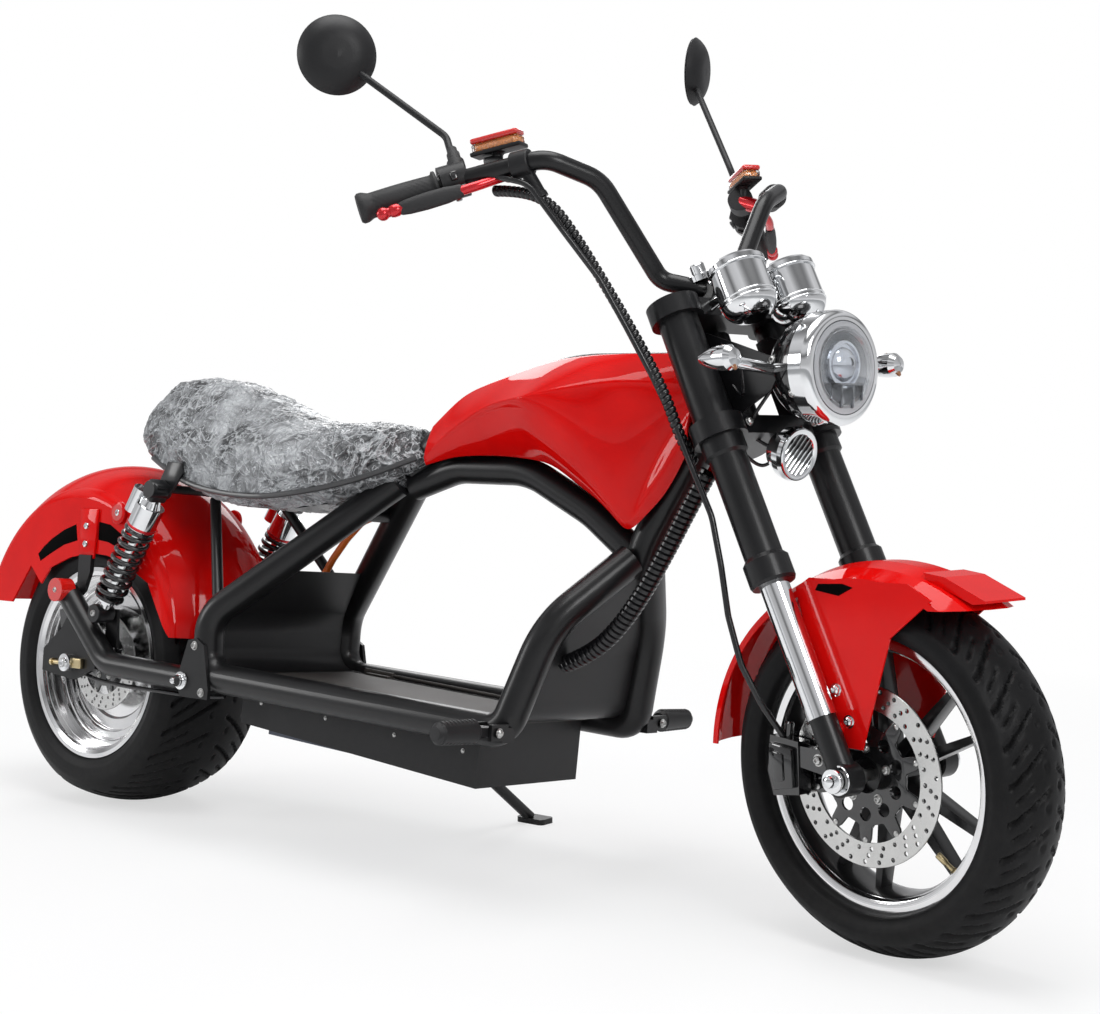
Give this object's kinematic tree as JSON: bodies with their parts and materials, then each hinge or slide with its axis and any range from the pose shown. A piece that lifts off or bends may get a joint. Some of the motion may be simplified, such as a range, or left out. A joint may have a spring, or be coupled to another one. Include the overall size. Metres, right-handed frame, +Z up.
{
  "type": "electric custom motorcycle",
  "caption": "Low electric custom motorcycle with fat tyres, arched tube frame, long saddle, high bars, flat deck over the battery box and a side stand.",
  "frame": {"origin": "centre of the bounding box in plan, on the ground the bike stands on", "axes": "+X forwards along the bike, +Y to the rider's left, +Z up; the bike leans 5.2 degrees towards +Y on its side stand"},
  "size_m": [2.0724, 0.816, 1.2974],
  "materials": {
    "black_paint": "satin",
    "red_paint": "gloss",
    "tyre_rubber": "matte",
    "polished_rim": "polished",
    "black_cast": "satin black",
    "disc_steel": "brushed",
    "chrome_trim": "mirror",
    "zinc_steel": "satin",
    "black_plastic": "matte",
    "seat_vinyl": "soft",
    "lamp_glass": "clear",
    "lamp_red": "gloss",
    "lamp_amber": "gloss",
    "cable_black": "satin",
    "cable_orange": "satin",
    "spring_black": "gloss",
    "battery_case": "matte",
    "grip_rubber": "matte",
    "red_anodised": "gloss"
  },
  "bodies": {
    "frame": {"frame_spine": "black_paint", "frame_arch": "black_paint", "frame_loop_right": "black_paint", "frame_loop_left": "black_paint", "swingarm": "black_paint", "rear_axle": "zinc_steel", "shock_bodies": "chrome_trim", "shock_springs": "spring_black", "rear_mudguard": "red_paint", "mudguard_stays": "black_paint", "rear_lamps": "lamp_red", "rear_caliper": "black_cast", "seat_pad": "seat_vinyl", "seat_pan": "black_paint", "side_cover_left": "red_paint", "side_cover_right": "red_paint", "front_shield": "black_plastic", "kick_panel": "black_plastic", "deck_floor": "black_paint", "battery_box": "black_paint", "battery_pack": "battery_case", "frame_brackets": "black_paint", "frame_harness": "cable_black", "orange_cable": "cable_orange"},
    "front_wheel": {"front_tyre": "tyre_rubber", "front_rim": "black_cast", "front_disc": "disc_steel"},
    "rear_wheel": {"rear_tyre": "tyre_rubber", "rear_rim": "polished_rim", "rear_disc": "disc_steel"},
    "steering": {"front_axle": "zinc_steel", "triple_clamps": "black_cast", "fork_uppers": "black_paint", "fork_stanchions": "chrome_trim", "fork_lowers": "black_cast", "headlight_bracket": "black_paint", "headlight_bowl": "black_paint", "headlight_ring": "chrome_trim", "headlight_lens": "lamp_glass", "horn": "chrome_trim", "gauge_pods": "chrome_trim", "turn_signals": "chrome_trim", "handlebar": "black_paint", "grips": "grip_rubber", "switch_housings": "black_plastic", "brake_levers": "red_anodised", "marker_lamps": "lamp_amber", "mirrors": "black_plastic", "front_mudguard": "red_paint", "front_caliper": "black_cast", "front_brake_hose": "cable_black", "bar_loom": "cable_black"},
    "deck_lid": {"deck_lid": "black_paint"},
    "side_stand": {"side_stand": "black_paint"},
    "peg_right": {"peg_right": "black_paint"},
    "peg_left": {"peg_left": "black_paint"}
  },
  "joints": [
    {"name": "steering_turn", "type": "hinge", "parent": "frame", "child": "steering", "pos_m": [0.52882, -0.06217, 0.71153], "axis": [-0.4445, 0.0812, 0.8921], "range_deg": [-21.5, 44.5]},
    {"name": "front_wheel_spin", "type": "hinge", "parent": "steering", "child": "front_wheel", "pos_m": [0.81011, -0.1135, 0.22862], "axis": [0.1786, 0.9839, -0.0006], "continuous": true},
    {"name": "rear_wheel_spin", "type": "hinge", "parent": "frame", "child": "rear_wheel", "pos_m": [-0.68422, -0.10487, 0.24252], "axis": [0, 0.9959, -0.0906], "continuous": true},
    {"name": "stand_fold", "type": "hinge", "parent": "frame", "child": "side_stand", "pos_m": [-0.03424, 0.02335, 0.13975], "axis": [0.0002, 0.6642, 0.7475], "range_deg": [0, 88]},
    {"name": "lid_lift", "type": "hinge", "parent": "frame", "child": "deck_lid", "pos_m": [-0.04424, 0.01351, 0.24128], "axis": [-0.9986, 0.0048, 0.0532], "range_deg": [0, 32]},
    {"name": "peg_right_fold", "type": "hinge", "parent": "frame", "child": "peg_right", "pos_m": [0.30078, -0.29333, 0.24582], "axis": [-1, 0, 0.0002], "range_deg": [0, 85]},
    {"name": "peg_left_fold", "type": "hinge", "parent": "frame", "child": "peg_left", "pos_m": [0.30077, 0.08112, 0.21174], "axis": [1, 0, -0.0002], "range_deg": [0, 85]}
  ]
}
